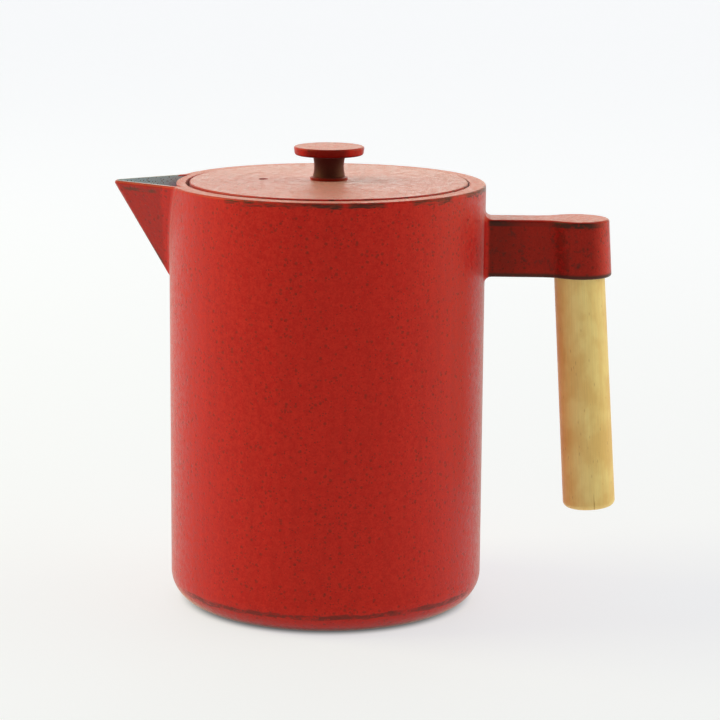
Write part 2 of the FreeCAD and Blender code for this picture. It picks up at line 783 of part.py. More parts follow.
def make_grip_fixing():
    """The long screw up the grip and the washer under its head."""
    washer_top = "(dims.pocket_deep - dims.grip_long)"
    washer = make_washer("grip_washer", "grip_washer", washer_top)
    screw = make_screw("grip_screw", "grip_screw", f"({washer_top} - dims.grip_washer_thick)",
                       "dims.grip_screw_bite")
    lean_with_grip(washer)
    lean_with_grip(screw)
    return [screw, washer]


def make_knob_fixing():
    """The short screw up through the lid into the knob and the washer under its head."""
    washer = make_washer("knob_washer", "knob_washer", LID_UNDERSIDE)
    screw = make_screw("knob_screw", "knob_screw", f"({LID_UNDERSIDE} - dims.knob_washer_thick)",
                       f"({LID_TOP} + dims.knob_screw_bite)")
    shift_with_lid(screw)
    shift_with_lid(washer)
    return [screw, washer]


def check_document():
    """Stop on any feature that failed to recompute."""
    doc.recompute()
    failed = [item.Name for item in doc.Objects if {"Invalid", "Error"} & set(item.State)]
    if failed:
        raise RuntimeError(f"failed features: {failed}")


def write_steps(bodies):
    """Check each sub-part's solid and write it to parts/LABEL.step."""
    os.makedirs("parts", exist_ok=True)
    for body in bodies:
        shape = body.Shape
        if shape.isNull() or not shape.isValid() or len(shape.Solids) != 1:
            raise RuntimeError(f"{body.Label} is not one valid solid")
        box = shape.BoundBox
        print(f"{body.Label:16s} {shape.Volume / 1000:8.3f} cm3  "
              f"x {box.XMin:7.2f} {box.XMax:7.2f}  y {box.YMin:7.2f} {box.YMax:7.2f}  "
              f"z {box.ZMin:7.2f} {box.ZMax:7.2f}")
    for body in bodies:
        body.Shape.exportStep(f"parts/{body.Label}.step")


bodies = [make_pot_body(), make_grip(), *make_grip_fixing(), make_lid(), make_knob(),
          *make_knob_fixing(), *make_basket()]
check_document()
write_steps(bodies)
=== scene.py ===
"""The looks of the cast iron teapot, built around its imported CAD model. Metres, +Z up."""
import math

import bmesh
import bpy
from mathutils import Matrix, Vector
from mathutils.geometry import delaunay_2d_cdt


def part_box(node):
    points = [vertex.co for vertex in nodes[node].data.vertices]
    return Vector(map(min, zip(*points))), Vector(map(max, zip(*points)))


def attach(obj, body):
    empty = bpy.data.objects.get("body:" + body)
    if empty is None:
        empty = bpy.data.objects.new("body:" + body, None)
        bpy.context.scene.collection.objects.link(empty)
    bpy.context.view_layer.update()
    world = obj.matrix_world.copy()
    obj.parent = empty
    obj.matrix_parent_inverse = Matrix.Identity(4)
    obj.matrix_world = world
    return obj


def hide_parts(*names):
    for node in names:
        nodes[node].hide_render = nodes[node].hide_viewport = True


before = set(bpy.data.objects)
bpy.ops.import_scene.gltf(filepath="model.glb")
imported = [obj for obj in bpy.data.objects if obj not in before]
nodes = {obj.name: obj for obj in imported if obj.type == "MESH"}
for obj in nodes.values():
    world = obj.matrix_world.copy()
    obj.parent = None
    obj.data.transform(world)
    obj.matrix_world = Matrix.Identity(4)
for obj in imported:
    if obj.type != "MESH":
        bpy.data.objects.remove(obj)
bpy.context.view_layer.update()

MM = 0.001

# places on the pot, in millimetres, for the zones of its finish
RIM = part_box("pot_body")[1].z / MM
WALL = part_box("pot_body")[1].y / MM
ARM_LOW = 116.3
ARM_TOP = 136.3
ARM_HALF = 6.8
BOSS = 11.2
BOSS_X = 88.0
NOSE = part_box("pot_body")[0].x / MM + 0.7
# the channel's half width for each mm back from its nose
CHANNEL_SPREAD = 0.71
CHANNEL_ROOT = -45.0
KEEL_ROOT = -56.0
WORN_LIP = (-69.0, -60.0)
CAVITY = 51.4
# x where the nearly black enamel inside the pot ends, and where the spout's enamel, made pale by a
# painted reflection, begins
DARK_END = -49.0
PAINTED_REFLECTION_START = -53.0
FOOT = 47.0
FOOT_LINE = 7.1
# stretches where the paint is worn, in degrees round from the front towards the arm
WORN_RIM = ((-34, 6), (11, 21), (35, 50), (62, 88), (112, 150), (-160, -118))
WORN_FOOT = ((-56, -8), (0, 26), (38, 62), (95, 140), (-170, -110))
LID_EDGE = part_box("lid")[1].x / MM
LID_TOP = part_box("lid")[1].z / MM
GRIP_LEAN = math.radians(3.7)

# the basket's sheet steel: its thickness, how far in from the CAD outline its middle lies, its holes
SHEET = 0.46 * MM
SHEET_MIDDLE = 0.25 * MM
HOLE_RADIUS = 0.85 * MM
HOLE_SIDES = 8

# linear colours
CRIMSON = (0.57, 0.0160, 0.0110)
DEEP_RED = (0.50, 0.0045, 0.0050)
SPECK_BROWN = (0.150, 0.016, 0.010)
BARE_IRON = (0.040, 0.014, 0.013)
RUST_BROWN = (0.130, 0.028, 0.018)
ENAMEL_AND_PAINTED_REFLECTION = (0.490, 0.790, 1.000)
ENAMEL_SPOT = (0.045, 0.075, 0.110)
MAPLE = (0.97, 0.78, 0.29)
MAPLE_DARK = (0.86, 0.59, 0.185)
MAPLE_PORE = (0.40, 0.19, 0.055)
STEEL = (0.58, 0.58, 0.57)
ZINC = (0.52, 0.53, 0.55)
METAL_STAIN = (0.46, 0.42, 0.36)
FLOOR = (0.280, 0.326, 0.430)
FLOOR_GLOW = (0.985, 0.995, 1.0)
STUDIO_SIDES = (1.0, 0.81, 0.52)
STUDIO_WHITE = (1.0, 0.985, 0.95)
LEFT_LAMP = (1.0, 0.88, 0.38)
RIGHT_LAMP = (1.0, 0.80, 0.46)

# the photo's viewing angle, in metres and radians
CAMERA_PLACE = (0.0360, -0.8969, 0.2638)
CAMERA_PITCH = 0.1966
CAMERA_YAW = 0.0271
CAMERA_ROLL = 0.0074


class Graph:
    """A material's node tree, with one short call for each node.

    A value is a socket or a number; positions are the piece's own, in millimetres.
    """

    def __init__(self, name):
        self.material = bpy.data.materials.new(name)
        self.material.use_nodes = True
        self.tree = self.material.node_tree
        self.tree.nodes.clear()
        self.shader = self.node("ShaderNodeBsdfPrincipled")
        output = self.node("ShaderNodeOutputMaterial")
        self.tree.links.new(self.shader.outputs[0], output.inputs["Surface"])
        self.coordinates = self.node("ShaderNodeTexCoord")
        self.normal = self.coordinates.outputs["Normal"]
        scaled = self.node("ShaderNodeVectorMath", operation="SCALE")
        self.put(self.coordinates.outputs["Object"], scaled.inputs[0])
        scaled.inputs["Scale"].default_value = 1 / MM
        self.place = scaled.outputs[0]

    def node(self, kind, **settings):
        made = self.tree.nodes.new(kind)
        for key, value in settings.items():
            setattr(made, key, value)
        return made

    def put(self, value, socket):
        """Link a socket to another, or set a plain number or colour on it."""
        if isinstance(value, bpy.types.NodeSocket):
            self.tree.links.new(value, socket)
        elif socket.type == "RGBA":
            socket.default_value = (*value, 1.0)
        else:
            socket.default_value = value

    def math(self, operation, *values, clamp=False):
        made = self.node("ShaderNodeMath", operation=operation, use_clamp=clamp)
        for value, socket in zip(values, made.inputs):
            self.put(value, socket)
        return made.outputs[0]

    def product(self, *values):
        result = values[0]
        for value in values[1:]:
            result = self.math("MULTIPLY", result, value)
        return result

    def largest(self, *values):
        result = values[0]
        for value in values[1:]:
            result = self.math("MAXIMUM", result, value)
        return result

    def fade(self, value, start, end):
        """0 where value is at start, 1 at end, smooth between; start may be the larger."""
        made = self.node("ShaderNodeMapRange", interpolation_type="SMOOTHSTEP")
        self.put(value, made.inputs["Value"])
        if start < end:
            limits = (start, end, 0.0, 1.0)
        else:
            limits = (end, start, 1.0, 0.0)
        for name, limit in zip(("From Min", "From Max", "To Min", "To Max"), limits):
            made.inputs[name].default_value = limit
        return made.outputs["Result"]

    def band(self, value, low, high, soft):
        """1 where value lies between low and high, fading out over soft on both sides."""
        rise = self.fade(value, low - soft, low)
        return self.product(rise, self.fade(value, high + soft, high))

    def spread(self, value, low, high):
        """Rescale a value of 0 to 1 so that it runs from low to high."""
        return self.math("ADD", self.math("MULTIPLY", value, high - low), low)

    def parts(self, vector):
        made = self.node("ShaderNodeSeparateXYZ")
        self.put(vector, made.inputs[0])
        return made.outputs[0], made.outputs[1], made.outputs[2]

    def stretch(self, vector, scale, turn=(0.0, 0.0, 0.0), shift=(0.0, 0.0, 0.0)):
        made = self.node("ShaderNodeMapping")
        self.put(vector, made.inputs["Vector"])
        made.inputs["Scale"].default_value = scale
        made.inputs["Rotation"].default_value = turn
        made.inputs["Location"].default_value = shift
        return made.outputs[0]

    def noise(self, vector, per_mm, detail=2.0, rough=0.5, bend=0.0):
        made = self.node("ShaderNodeTexNoise")
        self.put(vector, made.inputs["Vector"])
        made.inputs["Scale"].default_value = per_mm
        made.inputs["Detail"].default_value = detail
        made.inputs["Roughness"].default_value = rough
        made.inputs["Distortion"].default_value = bend
        return made.outputs[0]

    def specks(self, vector, per_mm, share, size=0.30):
        """Round dots, one in some of the cells of a grid; share may be a socket."""
        made = self.node("ShaderNodeTexVoronoi")
        self.put(vector, made.inputs["Vector"])
        made.inputs["Scale"].default_value = per_mm
        lot, _, _ = self.parts(made.outputs["Color"])
        chosen = self.math("LESS_THAN", lot, share)
        return self.product(self.fade(made.outputs["Distance"], size, size * 0.5), chosen)

    def mix(self, share, first, second):
        """A colour between first, at share 0, and second, at share 1."""
        made = self.node("ShaderNodeMix", data_type="RGBA")
        self.put(share, made.inputs["Factor"])
        self.put(first, made.inputs[6])
        self.put(second, made.inputs[7])
        return made.outputs[2]

    def between(self, share, first, second):
        """A number between first, at share 0, and second, at share 1."""
        made = self.node("ShaderNodeMix", data_type="FLOAT")
        self.put(share, made.inputs["Factor"])
        self.put(first, made.inputs[2])
        self.put(second, made.inputs[3])
        return made.outputs[0]

    def shade(self, colour, factor):
        """A colour made darker or lighter by a number."""
        made = self.node("ShaderNodeVectorMath", operation="SCALE")
        self.put(colour, made.inputs[0])
        self.put(factor, made.inputs["Scale"])
        return made.outputs[0]

    def bump(self, height, depth_mm, strength=1.0):
        made = self.node("ShaderNodeBump")
        self.put(height, made.inputs["Height"])
        self.put(strength, made.inputs["Strength"])
        made.inputs["Distance"].default_value = depth_mm * MM
        self.put(made.outputs[0], self.shader.inputs["Normal"])

    def finish(self, **inputs):
        """Set the shader's inputs, their names written with _ for a space."""
        for name, value in inputs.items():
            self.put(value, self.shader.inputs[name.replace("_", " ")])
        return self.material


def radius_of(graph, x, y):
    squares = graph.math("ADD", graph.math("MULTIPLY", x, x), graph.math("MULTIPLY", y, y))
    return graph.math("SQRT", squares)


def iron_finish(name, zones, sheen=0.75, sheen_tint=(1.0, 0.92, 0.84),
                gloss_tint=(1.0, 0.40, 0.25), rough_span=(0.32, 0.56), relief=0.60):
    """Red patina on rough cast iron.

    zones(graph) gives four masks: where the paint has worn to brown and to bare iron (on the knob's
    stem also painted shade), where painted shade darkens the colour, and where the surface is enamel:
    nearly black inside, and along the spout pale blue-grey, a painted reflection, with blackish spots.
    """
    g = Graph(name)
    brown, bare, painted_shade, enamel = zones(g)
    cloud = g.noise(g.place, 0.06, detail=3.0, rough=0.6)
    streak = g.noise(g.stretch(g.place, (1.0, 1.0, 0.04)), 0.45, detail=3.0)
    grain = g.noise(g.place, 1.5, detail=3.0, rough=0.7)
    coarse = g.noise(g.place, 0.5, detail=2.0, rough=0.6)
    speck = g.specks(g.place, 0.60, g.spread(cloud, -0.35, 0.85), size=0.42)
    pepper = g.specks(g.place, 1.10, g.spread(cloud, -0.30, 0.70), size=0.36)

    tone = g.math("ADD", g.math("MULTIPLY", coarse, 0.5), g.math("MULTIPLY", grain, 0.5))
    mottle = g.fade(tone, 0.38, 0.62)
    colour = g.mix(mottle, DEEP_RED, CRIMSON)
    colour = g.shade(colour, g.spread(streak, 0.88, 1.12))
    colour = g.shade(colour, g.spread(grain, 0.84, 1.16))
    colour = g.mix(g.math("MULTIPLY", speck, 0.50), colour, SPECK_BROWN)
    colour = g.mix(g.math("MULTIPLY", pepper, 0.55), colour, BARE_IRON)
    # painted shade: the zones' shade mask darkens the colour to as little as 30 %
    colour = g.shade(colour, g.spread(painted_shade, 1.0, 0.30))
    colour = g.mix(brown, colour, RUST_BROWN)
    colour = g.mix(bare, colour, BARE_IRON)
    _, _, up = g.parts(g.normal)
    x, _, _ = g.parts(g.place)
    # along the spout the enamel's pale blue-grey is a painted reflection of the white studio on nearly
    # black enamel
    spots = g.fade(g.noise(g.place, 2.0, detail=3.0), 0.55, 0.70)
    # painted shade on up-facing enamel, down to 32 %, against the light the lip tops catch from above
    glaze_and_painted_reflection = g.shade(g.mix(spots, ENAMEL_AND_PAINTED_REFLECTION, ENAMEL_SPOT), g.between(g.fade(up, 0.5, 0.95), 1.0, 0.32))
    # inside the pot this painted reflection is cut to 6 %, which leaves nearly black enamel
    glaze_and_painted_reflection = g.shade(glaze_and_painted_reflection, g.spread(g.fade(x, DARK_END, PAINTED_REFLECTION_START), 0.06, 1.0))
    colour = g.mix(enamel, colour, glaze_and_painted_reflection)

    rough = g.spread(mottle, *rough_span)
    rough = g.between(g.largest(brown, bare), rough, 0.50)
    rough = g.between(enamel, rough, 0.34)
    height = g.math("ADD", grain, g.math("MULTIPLY", coarse, 1.3))
    height = g.math("SUBTRACT", height, g.math("MULTIPLY", g.largest(speck, pepper), 0.5))
    height = g.math("SUBTRACT", height, g.math("MULTIPLY", g.largest(brown, bare), 0.5))
    g.bump(height, 0.10, strength=g.between(enamel, relief, 0.25))
    return g.finish(Base_Color=colour, Roughness=rough, Specular_IOR_Level=0.55,
                    Specular_Tint=gloss_tint, Sheen_Weight=sheen, Sheen_Roughness=0.25,
                    Sheen_Tint=sheen_tint)


def around(g, x, y, stretches, soft=3.0):
    """1 in the given stretches round the pot, each from one angle to another."""
    angle = g.product(g.math("ARCTAN2", x, g.math("MULTIPLY", y, -1.0)), math.degrees(1.0))
    return g.largest(*(g.band(angle, low, high, soft) for low, high in stretches))


def pot_zones(g):
    """The pot: worn rim, lip, keel, foot and arm edges; enamel inside and along the channel; painted
    shade on the arm, the spout, the arm's crease and the foot.
    """
    x, y, z = g.parts(g.place)
    along, side, up = g.parts(g.normal)
    out = radius_of(g, x, y)
    ragged = g.noise(g.stretch(g.place, (0.12, 0.12, 0.7)), 1.0, detail=4.0, rough=0.65)
    level = g.noise(g.stretch(g.place, (0.25, 0.25, 1.1)), 1.0, detail=3.0, rough=0.6)
    fine = g.noise(g.place, 0.5, detail=3.0, rough=0.65)

    inside = g.product(g.fade(out, CAVITY + 0.4, CAVITY), g.fade(z, RIM - 4.2, RIM - 4.6),
                       g.fade(z, 3.6, 4.2))
    faces_channel = g.largest(g.fade(g.math("MULTIPLY", y, side), 0.0, -0.3), g.fade(along, 0.1, 0.3))
    trough = g.product(g.fade(up, 0.02, 0.08), faces_channel, g.fade(z, RIM - 0.2, RIM - 0.6))
    channel_half = g.product(g.math("SUBTRACT", x, NOSE), CHANNEL_SPREAD)
    past_channel = g.math("SUBTRACT", g.math("ABSOLUTE", y), channel_half)
    lip_tops = g.product(g.fade(z, RIM - 0.8, RIM - 0.4), g.fade(out, WALL - 0.1, WALL + 0.5),
                         g.fade(past_channel, 2.0, 1.4))
    on_channel = g.product(g.fade(x, CHANNEL_ROOT, CHANNEL_ROOT - 1.0), g.fade(x, NOSE, NOSE + 0.8))
    enamel = g.largest(inside, g.product(on_channel, g.largest(trough, lip_tops)))

    outside = g.fade(out, WALL - 1.2, WALL - 0.6)
    rim_height = g.band(g.math("ADD", z, g.spread(level, -1.3, 1.3)), RIM - 1.5, RIM - 0.5, 0.6)
    rim_wear = g.product(rim_height, outside, around(g, x, y, WORN_RIM), g.fade(ragged, 0.34, 0.56))
    lip_wear = g.product(g.band(g.math("ADD", z, g.spread(fine, -0.8, 0.8)), RIM - 2.8, RIM - 2.0, 0.4),
                         g.band(x, *WORN_LIP, 3.0), g.fade(ragged, 0.34, 0.50))
    keel = g.product(g.fade(g.math("ABSOLUTE", y), 1.6, 0.7), g.fade(x, KEEL_ROOT, KEEL_ROOT - 2.0),
                     g.fade(z, RIM - 3.0, RIM - 8.0), g.fade(fine, 0.30, 0.55))
    foot_height = g.math("ADD", z, g.spread(ragged, -1.6, 1.6))
    foot = g.product(g.band(foot_height, FOOT_LINE - 0.55, FOOT_LINE + 0.55, 0.6),
                     around(g, x, y, WORN_FOOT, soft=9.0), g.fade(g.largest(fine, level), 0.36, 0.58))
    underside = g.fade(z, 0.5, 0.15)

    on_arm = g.fade(x, WALL + 0.4, WALL + 1.8)
    to_boss = g.math("SUBTRACT", radius_of(g, g.math("SUBTRACT", x, BOSS_X), y), BOSS)
    to_side = g.math("SUBTRACT", g.math("ABSOLUTE", y), ARM_HALF)
    plan = g.math("MINIMUM", to_boss, to_side)
    at_edge = g.fade(plan, -1.2, -0.3)
    handled = g.largest(g.fade(x, WALL + 14.0, WALL + 4.0), g.band(x, BOSS_X - 8.0, BOSS_X + 9.0, 4.0))
    top_edge = g.product(g.band(z, ARM_TOP - 1.9, ARM_TOP - 0.5, 0.5), at_edge,
                         g.spread(handled, 0.30, 1.0), g.fade(fine, 0.28, 0.48))
    low_edge = g.product(g.fade(z, ARM_LOW + 2.0, ARM_LOW + 0.9), g.fade(fine, 0.22, 0.38))
    upright = g.fade(g.math("ABSOLUTE", up), 0.7, 0.3)
    smudge = g.product(g.fade(g.noise(g.place, 0.30, detail=4.0, rough=0.7), 0.52, 0.70), 0.65, upright)
    arm_bare = g.product(on_arm, g.largest(top_edge, low_edge, smudge))

    brown = g.largest(g.product(rim_wear, 0.85), g.product(lip_wear, 0.9), g.product(keel, 0.8))
    bare = g.largest(arm_bare, g.product(keel, 0.45), g.product(foot, 0.70), g.product(underside, 0.85),
                     g.product(rim_wear, g.fade(level, 0.40, 0.54), 0.85))
    outer = g.math("SUBTRACT", 1.0, enamel)
    # painted shade on the arm's upright faces: deepest by the pot, and nearly none on faces turned to +X,
    # a painted highlight at the lit end of the boss
    root = g.fade(x, WALL + 16.0, WALL + 5.0)
    lit_end = g.fade(along, 0.35, 0.85)
    arm_painted_shade = g.product(on_arm, upright, g.between(root, g.between(lit_end, 0.60, 0.05), 0.85))
    # painted shade over the whole spout beyond the keel's root
    spout_painted_shade = g.product(g.fade(x, KEEL_ROOT, KEEL_ROOT - 1.5), 0.38)
    # painted shade in the crease where the arm meets the boss, broken up by noise
    crease_painted_shade = g.product(g.band(x, BOSS_X - 8.5, BOSS_X - 5.0, 3.0), upright, g.fade(fine, 0.30, 0.55), 0.9)
    # painted contact shade on the pot's lowest 10 mm, darkest at its base
    foot_painted_shade = g.largest(g.product(g.fade(z, 10.0, 1.0), 0.45), g.fade(z, 4.5, 1.0))
    # the pot's shade mask is all painted shade
    painted_shade = g.largest(arm_painted_shade, spout_painted_shade, crease_painted_shade, foot_painted_shade)
    return g.product(brown, outer), g.product(bare, outer), painted_shade, enamel


def lid_zones(g):
    """The lid: a worn edge, and a skirt and underside of enamel."""
    x, y, z = g.parts(g.place)
    out = radius_of(g, x, y)
    fine = g.noise(g.place, 0.45, detail=3.0, rough=0.65)
    edge = g.product(g.fade(out, LID_EDGE - 0.9, LID_EDGE - 0.3), g.fade(fine, 0.48, 0.58))
    enamel = g.fade(z, LID_TOP - 3.4, LID_TOP - 3.8)
    return g.product(edge, 0.7), g.product(edge, g.fade(fine, 0.6, 0.7)), 0.0, enamel


def knob_zones(g):
    """The knob: rubbed wear at random, and painted shade on the middle of its disc's front and on the
    front and sides of its stem under the disc.
    """
    x, _, z = g.parts(g.place)
    _, forward, _ = g.parts(g.normal)
    above = g.math("SUBTRACT", z, LID_TOP)
    fine = g.noise(g.place, 0.8, detail=3.0, rough=0.65)
    # painted shade on the middle of the disc's front, the side facing -Y
    front = g.product(g.fade(forward, -0.25, -0.60), g.fade(g.math("ABSOLUTE", x), 8.5, 5.5))
    # painted shade on the stem under the disc, on its front and sides
    stem = g.product(g.band(above, 1.2, 8.6, 0.6), g.fade(forward, 0.3, -0.6))
    rubbed = g.product(g.fade(fine, 0.56, 0.70), 0.45)
    # the stem's painted shade is given both as bare iron colour and as shade
    return 0.0, g.largest(rubbed, g.product(stem, 0.92)), g.largest(g.product(front, 0.85), stem), 0.0


def maple_finish():
    """Turned maple: fine upright grain, faint growth rings round an off-centre pith, soft mottling."""
    g = Graph("turned_maple")
    low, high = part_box("wooden_grip")
    pith = (-(low.x + high.x) / 2 / MM - 9.0, -14.0, 0.0)
    along = g.stretch(g.place, (1.0, 1.0, 1.0), turn=(0.0, GRIP_LEAN, 0.0))
    x, y, _ = g.parts(g.stretch(along, (1.0, 1.0, 1.0), shift=pith))
    wobble = g.noise(g.stretch(along, (0.20, 0.20, 0.025)), 1.0, detail=2.0)
    ring = g.math("ADD", radius_of(g, x, y), g.math("MULTIPLY", wobble, 6.0))
    ring = g.math("FRACT", g.math("MULTIPLY", ring, 0.40))
    ring = g.product(g.fade(ring, 0.35, 0.92), g.fade(ring, 1.0, 0.94))
    fibre = g.noise(g.stretch(along, (2.6, 2.6, 0.10)), 1.0, detail=3.0, rough=0.6)
    pore = g.specks(g.stretch(along, (1.3, 1.3, 0.30)), 1.0, 0.16, size=0.26)
    mottle = g.noise(g.stretch(along, (0.10, 0.10, 0.07)), 1.0, detail=3.0, rough=0.55)

    colour = g.mix(g.fade(mottle, 0.34, 0.66), MAPLE_DARK, MAPLE)
    colour = g.mix(g.product(ring, 0.30), colour, MAPLE_DARK)
    colour = g.shade(colour, g.spread(fibre, 0.88, 1.12))
    colour = g.mix(g.product(pore, 0.35), colour, MAPLE_PORE)
    height = g.math("SUBTRACT", fibre, g.math("MULTIPLY", pore, 0.6))
    g.bump(height, 0.06, strength=0.35)
    return g.finish(Base_Color=colour, Roughness=g.spread(fibre, 0.40, 0.56), Specular_IOR_Level=0.40)


def steel_finish(name, tint, turned):
    """Stainless sheet with long fine scratches, or a turned head with rings round its axis."""
    g = Graph(name)
    if turned:
        lines = g.noise(g.stretch(g.place, (1.0, 1.0, 4.0)), 3.0, detail=2.0)
    else:
        x, y, z = g.parts(g.place)
        unrolled = g.node("ShaderNodeCombineXYZ")
        g.put(g.math("MULTIPLY", radius_of(g, x, y), 6.0), unrolled.inputs[0])
        g.put(g.math("MULTIPLY", z, 9.0), unrolled.inputs[1])
        g.put(g.math("ARCTAN2", y, x), unrolled.inputs[2])
        lines = g.noise(unrolled.outputs[0], 1.0, detail=2.0)
    stain = g.fade(g.noise(g.place, 0.10, detail=3.0), 0.45, 0.75)
    colour = g.shade(g.mix(stain, tint, METAL_STAIN), g.spread(lines, 0.86, 1.14))
    g.bump(lines, 0.02, strength=0.35)
    return g.finish(Base_Color=colour, Metallic=1.0, Roughness=g.spread(lines, 0.22, 0.44))


def floor_finish():
    """A pale sweep that glows, a painted light: more towards the back, and less round the pot's foot, a
    painted contact shadow, so that the real shadows on it are faint but there.
    """
    g = Graph("pale_floor")
    patch = g.noise(g.place, 0.004, detail=2.0)
    across, behind, _ = g.parts(g.place)
    # painted light: the glow grows towards the back
    glow = g.between(g.fade(behind, -150.0, 1200.0), 0.66, 0.745)
    # painted contact shadow: the glow falls to 15 % round the foot
    painted_shadow_fade = g.fade(radius_of(g, across, behind), FOOT - 1.0, FOOT + 6.0)
    glow = g.product(glow, g.spread(painted_shadow_fade, 0.15, 1.0))
    return g.finish(Base_Color=g.shade(FLOOR, g.spread(patch, 0.985, 1.015)), Roughness=0.85,
                    Specular_IOR_Level=0.1, Emission_Color=FLOOR_GLOW, Emission_Strength=glow)


def assign(material, *pieces):
    for piece in pieces:
        piece.data.materials.clear()
        piece.data.materials.append(material)


def new_piece(name, mesh_maker, material):
    """An object whose mesh the maker fills, shaded smooth and merged where points meet."""
    mesh = bpy.data.meshes.new(name)
    shape = bmesh.new()
    mesh_maker(shape)
    bmesh.ops.remove_doubles(shape, verts=shape.verts, dist=0.01 * MM)
    bmesh.ops.recalc_face_normals(shape, faces=shape.faces)
    for face in shape.faces:
        face.smooth = True
    shape.to_mesh(mesh)
    shape.free()
    mesh.materials.append(material)
    piece = bpy.data.objects.new(name, mesh)
    bpy.context.scene.collection.objects.link(piece)
    return piece


def add_perforated_cell(shape, wrap, centre, half):
    """One cell of a sheet, given flat as (along, up): a frame of quads round a round hole.

    half holds the cell's half width and half height, and the hole's radius.
    """
    along, up = centre
    half_along, half_up, hole = half
    outer = [(1, 0), (1, 1), (0, 1), (-1, 1), (-1, 0), (-1, -1), (0, -1), (1, -1)]
    frame_points = []
    hole_points = []
    for side, (a, b) in enumerate(outer):
        angle = 2 * math.pi * side / HOLE_SIDES
        frame_points.append(shape.verts.new(wrap(along + a * half_along, up + b * half_up)))
        on_hole = wrap(along + hole * math.cos(angle), up + hole * math.sin(angle))
        hole_points.append(shape.verts.new(on_hole))
    for side in range(HOLE_SIDES):
        after = (side + 1) % HOLE_SIDES
        shape.faces.new((frame_points[side], frame_points[after], hole_points[after], hole_points[side]))


def make_basket_wall():
    """The basket's rolled wall with its fine staggered perforation."""
    low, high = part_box("infuser_wall")
    radius = high.x - SHEET_MIDDLE
    columns, rows = 72, 17
    pitch = 2 * math.pi * radius / columns
    row_tall = 3.05 * MM
    holes_low = low.z + 7.0 * MM

    def wrap(along, up):
        angle = along / radius
        return Vector((radius * math.cos(angle), radius * math.sin(angle), up))

    def plain_band(shape, z_low, z_high, levels):
        """An unpierced band whose edge points meet those of the cells."""
        steps = columns * 2
        for level in range(levels):
            bottom = z_low + (z_high - z_low) * level / levels
            top = z_low + (z_high - z_low) * (level + 1) / levels
            for step in range(steps):
                start, end = step * pitch / 2, (step + 1) * pitch / 2
                corners = (wrap(start, bottom), wrap(end, bottom), wrap(end, top), wrap(start, top))
                shape.faces.new([shape.verts.new(corner) for corner in corners])

    def fill(shape):
        half = (pitch / 2, row_tall / 2, HOLE_RADIUS)
        for row in range(rows):
            shift = (row % 2) * pitch / 2
            up = holes_low + (row + 0.5) * row_tall
            for column in range(columns):
                add_perforated_cell(shape, wrap, (column * pitch + shift, up), half)
        plain_band(shape, low.z + SHEET_MIDDLE, holes_low, 2)
        plain_band(shape, holes_low + rows * row_tall, high.z - SHEET_MIDDLE, 2)

    piece = new_piece("basket_wall", fill, stainless)
    thicken(piece, SHEET)
    return piece


def thicken(piece, thickness):
    solid = piece.modifiers.new("sheet", "SOLIDIFY")
    solid.thickness = thickness
    solid.offset = 0.0
    solid.use_even_offset = True


def make_basket_base():
    """The basket's pressed base: a pierced disc that turns up into a short lip."""
    low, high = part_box("infuser_base")
    lip = high.x - SHEET_MIDDLE
    corner = 2.5 * MM
    corner_steps = 6
    floor = low.z + SHEET_MIDDLE
    steps, spacing = 144, 3.5 * MM
    unpierced = 2.2 * MM
    inside_hole = HOLE_RADIUS * 0.7
    flat = lip - corner

    def ring_point(radius, step, z):
        angle = 2 * math.pi * step / steps
        return Vector((radius * math.cos(angle), radius * math.sin(angle), z))

    def fill(shape):
        centres = []
        reach = int(flat / spacing) + 2
        for row in range(-reach, reach + 1):
            for column in range(-reach, reach + 1):
                centre = Vector(((column + 0.5 * (row % 2)) * spacing, row * spacing * math.sqrt(0.75)))
                if centre.length < flat - unpierced:
                    centres.append(centre)
        points = [ring_point(flat, step, 0).to_2d() for step in range(steps)]
        edges = [(step, (step + 1) % steps) for step in range(steps)]
        for centre in centres:
            first = len(points)
            for side in range(HOLE_SIDES):
                angle = 2 * math.pi * side / HOLE_SIDES
                points.append(centre + Vector((math.cos(angle), math.sin(angle))) * HOLE_RADIUS)
                edges.append((first + side, first + (side + 1) % HOLE_SIDES))
        flat_points, _, triangles, *_ = delaunay_2d_cdt(points, edges, [], 0, 1e-7)
        made = [shape.verts.new((point.x, point.y, floor)) for point in flat_points]
        for triangle in triangles:
            middle = sum((flat_points[index] for index in triangle), Vector((0.0, 0.0))) / 3
            if all((middle - centre).length > inside_hole for centre in centres):
                shape.faces.new([made[index] for index in triangle])
        profile = [(flat, floor)]
        for turn in range(1, corner_steps + 1):
            angle = math.pi / 2 * turn / corner_steps
            profile.append((flat + corner * math.sin(angle), floor + corner * (1 - math.cos(angle))))
        profile.append((lip, high.z - 0.1 * MM))
        for (r0, z0), (r1, z1) in zip(profile, profile[1:]):
            for step in range(steps):
                ends = ((r0, step, z0), (r0, step + 1, z0), (r1, step + 1, z1), (r1, step, z1))
                shape.faces.new([shape.verts.new(ring_point(*end)) for end in ends])

    piece = new_piece("basket_base", fill, stainless)
    thicken(piece, SHEET)
    return piece


def make_floor():
    mesh = bpy.data.meshes.new("floor")
    reach = 12.0
    corners = [(-reach, -reach, 0), (reach, -reach, 0), (reach, reach, 0), (-reach, reach, 0)]
    mesh.from_pydata(corners, [], [(0, 1, 2, 3)])
    mesh.materials.append(floor_finish())
    floor = bpy.data.objects.new("floor", mesh)
    bpy.context.scene.collection.objects.link(floor)


def make_camera():
    data = bpy.data.cameras.new("camera")
    data.lens = 130.0
    data.sensor_width = 36.0
    data.clip_end = 100.0
    camera = bpy.data.objects.new("camera", data)
    turn = Matrix.Rotation(CAMERA_YAW, 3, "Z") @ Matrix.Rotation(math.pi / 2 - CAMERA_PITCH, 3, "X")
    turn = turn @ Matrix.Rotation(CAMERA_ROLL, 3, "Z")
    camera.matrix_world = Matrix.Translation(CAMERA_PLACE) @ turn.to_4x4()
    bpy.context.scene.collection.objects.link(camera)
    bpy.context.scene.camera = camera


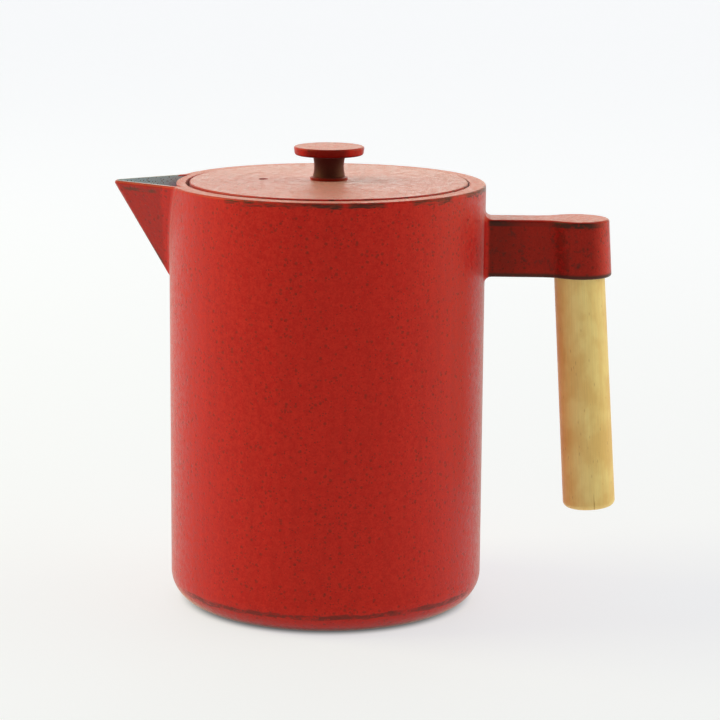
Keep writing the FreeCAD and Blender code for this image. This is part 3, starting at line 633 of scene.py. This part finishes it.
def make_world():
    """A studio that is white behind, warmer at the sides, dimmer overhead and in front."""
    world = bpy.data.worlds.new("studio")
    world.use_nodes = True
    tree = world.node_tree
    background = tree.nodes["Background"]
    place = tree.nodes.new("ShaderNodeTexCoord")
    split = tree.nodes.new("ShaderNodeSeparateXYZ")
    tree.links.new(place.outputs["Generated"], split.inputs[0])

    def ramp(axis, start, end, low, high):
        fade = tree.nodes.new("ShaderNodeMapRange")
        fade.interpolation_type = "SMOOTHSTEP"
        limits = {"From Min": start, "From Max": end, "To Min": low, "To Max": high}
        for name, value in limits.items():
            fade.inputs[name].default_value = value
        tree.links.new(split.outputs[axis], fade.inputs["Value"])
        return fade.outputs["Result"]

    strength = tree.nodes.new("ShaderNodeMath")
    strength.operation = "MULTIPLY"
    tree.links.new(ramp("Y", -0.80, -0.05, 0.24, 0.98), strength.inputs[0])
    tree.links.new(ramp("Z", 0.30, 0.95, 1.0, 0.45), strength.inputs[1])
    behind = tree.nodes.new("ShaderNodeMath")
    behind.operation = "ADD"
    tree.links.new(strength.outputs[0], behind.inputs[0])
    tree.links.new(ramp("Y", 0.84, 0.97, 0.0, 1.1), behind.inputs[1])
    tree.links.new(behind.outputs[0], background.inputs["Strength"])
    tint = tree.nodes.new("ShaderNodeMix")
    tint.data_type = "RGBA"
    tint.inputs[6].default_value = (*STUDIO_SIDES, 1.0)
    tint.inputs[7].default_value = (*STUDIO_WHITE, 1.0)
    white = tree.nodes.new("ShaderNodeMath")
    white.operation = "MAXIMUM"
    tree.links.new(ramp("Y", 0.80, 0.96, 0.0, 1.0), white.inputs[0])
    tree.links.new(ramp("Z", 0.40, 0.85, 0.0, 1.0), white.inputs[1])
    tree.links.new(white.outputs[0], tint.inputs["Factor"])
    tree.links.new(tint.outputs[2], background.inputs["Color"])
    bpy.context.scene.world = world


def make_softbox(name, place, size, power, colour, aim=(0.0, 0.0, 0.07)):
    data = bpy.data.lights.new(name, "AREA")
    data.shape = "RECTANGLE"
    data.color = colour
    data.size, data.size_y = size
    data.energy = power
    light = bpy.data.objects.new(name, data)
    light.location = place
    light.rotation_mode = "QUATERNION"
    light.rotation_quaternion = (Vector(aim) - Vector(place)).to_track_quat("-Z", "Y")
    bpy.context.scene.collection.objects.link(light)


bpy.context.scene.view_settings.view_transform = "Standard"
make_camera()
make_world()
make_floor()
make_softbox("left_softbox", (-1.2, 0.05, 0.95), (0.8, 0.8), 11.0, LEFT_LAMP)
make_softbox("right_softbox", (1.35, 0.25, 0.45), (1.0, 1.0), 4.0, RIGHT_LAMP)

stainless = steel_finish("stainless_sheet", STEEL, turned=False)
zinc = steel_finish("zinc_screw", ZINC, turned=True)
assign(iron_finish("red_iron_pot", pot_zones), nodes["pot_body"])
assign(iron_finish("red_iron_lid", lid_zones, sheen=1.0, sheen_tint=(1.0, 0.95, 0.98),
                   gloss_tint=(1.0, 0.72, 0.76), rough_span=(0.27, 0.55), relief=0.80), nodes["lid"])
assign(iron_finish("red_iron_knob", knob_zones, sheen_tint=(1.0, 0.94, 0.94)), nodes["lid_knob"])
assign(maple_finish(), nodes["wooden_grip"])
assign(zinc, nodes["grip_screw"], nodes["grip_washer"], nodes["knob_screw"], nodes["knob_washer"])
assign(stainless, nodes["infuser_collar"])

for piece, node in ((make_basket_wall(), "infuser_wall"), (make_basket_base(), "infuser_base")):
    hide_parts(node)
    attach(piece, "basket")
